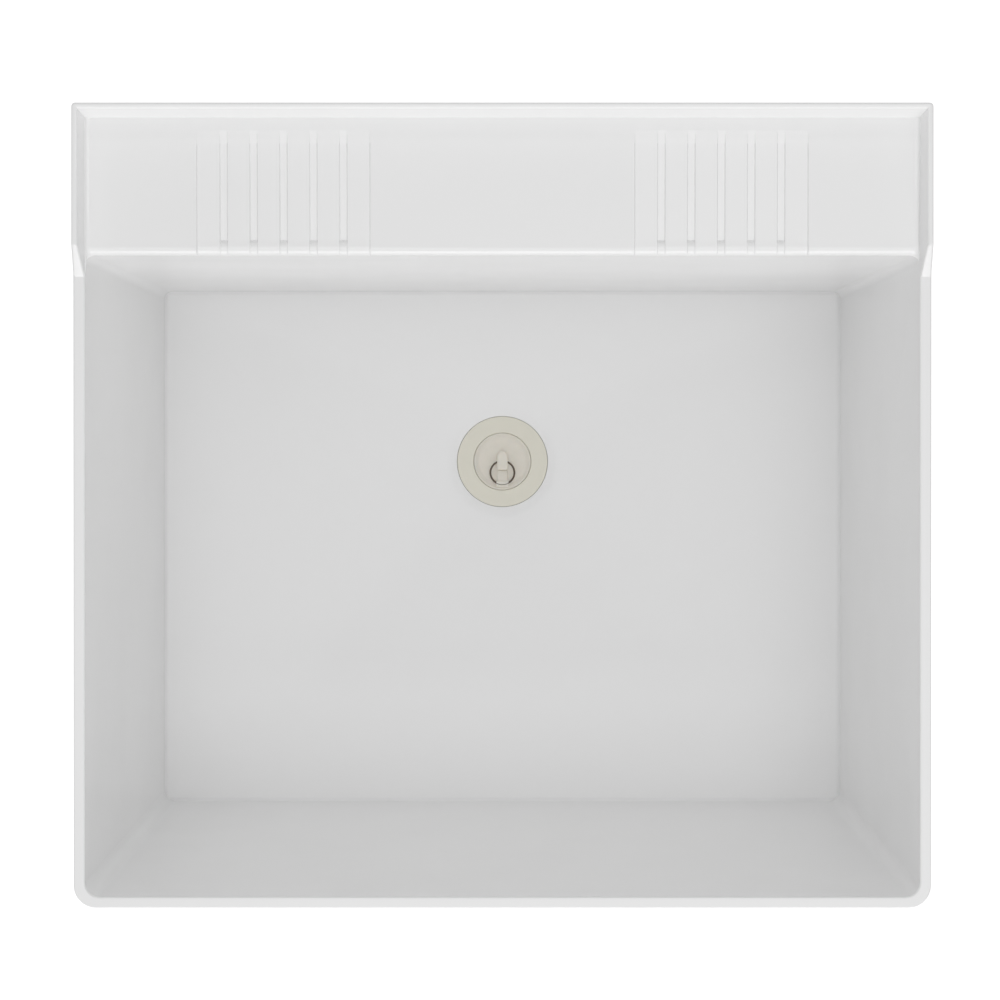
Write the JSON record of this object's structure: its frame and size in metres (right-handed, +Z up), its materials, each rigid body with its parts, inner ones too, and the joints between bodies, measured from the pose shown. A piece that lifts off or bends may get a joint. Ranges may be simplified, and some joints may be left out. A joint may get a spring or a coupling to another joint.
{
  "type": "laundry sink",
  "caption": "Floor-standing moulded laundry tub with a deep bowl, rear tap deck with lip and grooved soap ledges, plug drain and levelling steel legs.",
  "frame": {"origin": "on the floor, under the middle of the tub's outline", "axes": "+Z up, +Y towards the wall behind the tap deck, +X to the right seen from the front"},
  "size_m": [0.5842, 0.5462, 0.8572],
  "materials": {
    "tub_white": "smooth moulded composite, satin gloss",
    "drain_cream": "moulded, semi gloss",
    "gasket_rubber": "matt",
    "fibre": "matt",
    "pipe_white": "moulded, semi gloss",
    "washer_plastic": "matt",
    "stopper_vinyl": "soft, slightly translucent satin",
    "ring_steel": "drawn wire, dull",
    "zinc_steel": "zinc plated",
    "leg_enamel": "baked white enamel",
    "pad_grey": "moulded, matt"
  },
  "bodies": {
    "tub_and_legs": {"tub": "tub_white", "drain_body": "drain_cream", "drain_gasket": "gasket_rubber", "under_gasket": "gasket_rubber", "friction_ring": "fibre", "drain_locknut": "drain_cream", "tailpiece": "pipe_white", "tailpiece_washer": "washer_plastic", "coupling_nut": "pipe_white", "leg_bolts": "zinc_steel", "leg_washers": "zinc_steel", "leg_nuts": "zinc_steel", "leg_weld_nuts": "zinc_steel", "leveller_locknuts": "zinc_steel", "leg_front_left": "leg_enamel", "leg_front_right": "leg_enamel", "leg_rear_left": "leg_enamel", "leg_rear_right": "leg_enamel"},
    "plug": {"stopper": "stopper_vinyl"},
    "pull_ring": {"stopper_ring": "ring_steel"},
    "foot_front_left": {"leveller_pad_front_left": "pad_grey"},
    "stud_front_left": {"leveller_stud_front_left": "zinc_steel"},
    "foot_front_right": {"leveller_pad_front_right": "pad_grey"},
    "stud_front_right": {"leveller_stud_front_right": "zinc_steel"},
    "foot_rear_left": {"leveller_pad_rear_left": "pad_grey"},
    "stud_rear_left": {"leveller_stud_rear_left": "zinc_steel"},
    "foot_rear_right": {"leveller_pad_rear_right": "pad_grey"},
    "stud_rear_right": {"leveller_stud_rear_right": "zinc_steel"}
  },
  "joints": [
    {"name": "stopper_lift", "type": "slide", "parent": "tub_and_legs", "child": "plug", "axis": [0, 0, 1], "range_m": [0, 0.4]},
    {"name": "ring_swing", "type": "hinge", "parent": "plug", "child": "pull_ring", "pos_m": [0, 0.026, 0.50025], "axis": [-1, 0, 0], "range_deg": [0, 150]},
    {"name": "foot_travel_front_left", "type": "slide", "parent": "tub_and_legs", "child": "foot_front_left", "axis": [0, 0, -1], "range_m": [0, 0.02]},
    {"name": "stud_turn_front_left", "type": "hinge", "parent": "foot_front_left", "child": "stud_front_left", "pos_m": [-0.2594, -0.23465, 0.03], "axis": [0, 0, -1], "range_deg": [0, 5760]},
    {"name": "foot_travel_front_right", "type": "slide", "parent": "tub_and_legs", "child": "foot_front_right", "axis": [0, 0, -1], "range_m": [0, 0.02]},
    {"name": "stud_turn_front_right", "type": "hinge", "parent": "foot_front_right", "child": "stud_front_right", "pos_m": [0.2594, -0.23465, 0.03], "axis": [0, 0, -1], "range_deg": [0, 5760]},
    {"name": "foot_travel_rear_left", "type": "slide", "parent": "tub_and_legs", "child": "foot_rear_left", "axis": [0, 0, -1], "range_m": [0, 0.02]},
    {"name": "stud_turn_rear_left", "type": "hinge", "parent": "foot_rear_left", "child": "stud_rear_left", "pos_m": [-0.2594, 0.14845, 0.03], "axis": [0, 0, -1], "range_deg": [0, 5760]},
    {"name": "foot_travel_rear_right", "type": "slide", "parent": "tub_and_legs", "child": "foot_rear_right", "axis": [0, 0, -1], "range_m": [0, 0.02]},
    {"name": "stud_turn_rear_right", "type": "hinge", "parent": "foot_rear_right", "child": "stud_rear_right", "pos_m": [0.2594, 0.14845, 0.03], "axis": [0, 0, -1], "range_deg": [0, 5760]}
  ],
  "couplings": [
    {"joint": "stud_turn_front_left", "follows": "foot_travel_front_left", "rad_per_m": 4188.8},
    {"joint": "stud_turn_front_right", "follows": "foot_travel_front_right", "rad_per_m": 4188.8},
    {"joint": "stud_turn_rear_left", "follows": "foot_travel_rear_left", "rad_per_m": 4188.8},
    {"joint": "stud_turn_rear_right", "follows": "foot_travel_rear_right", "rad_per_m": 4188.8}
  ]
}
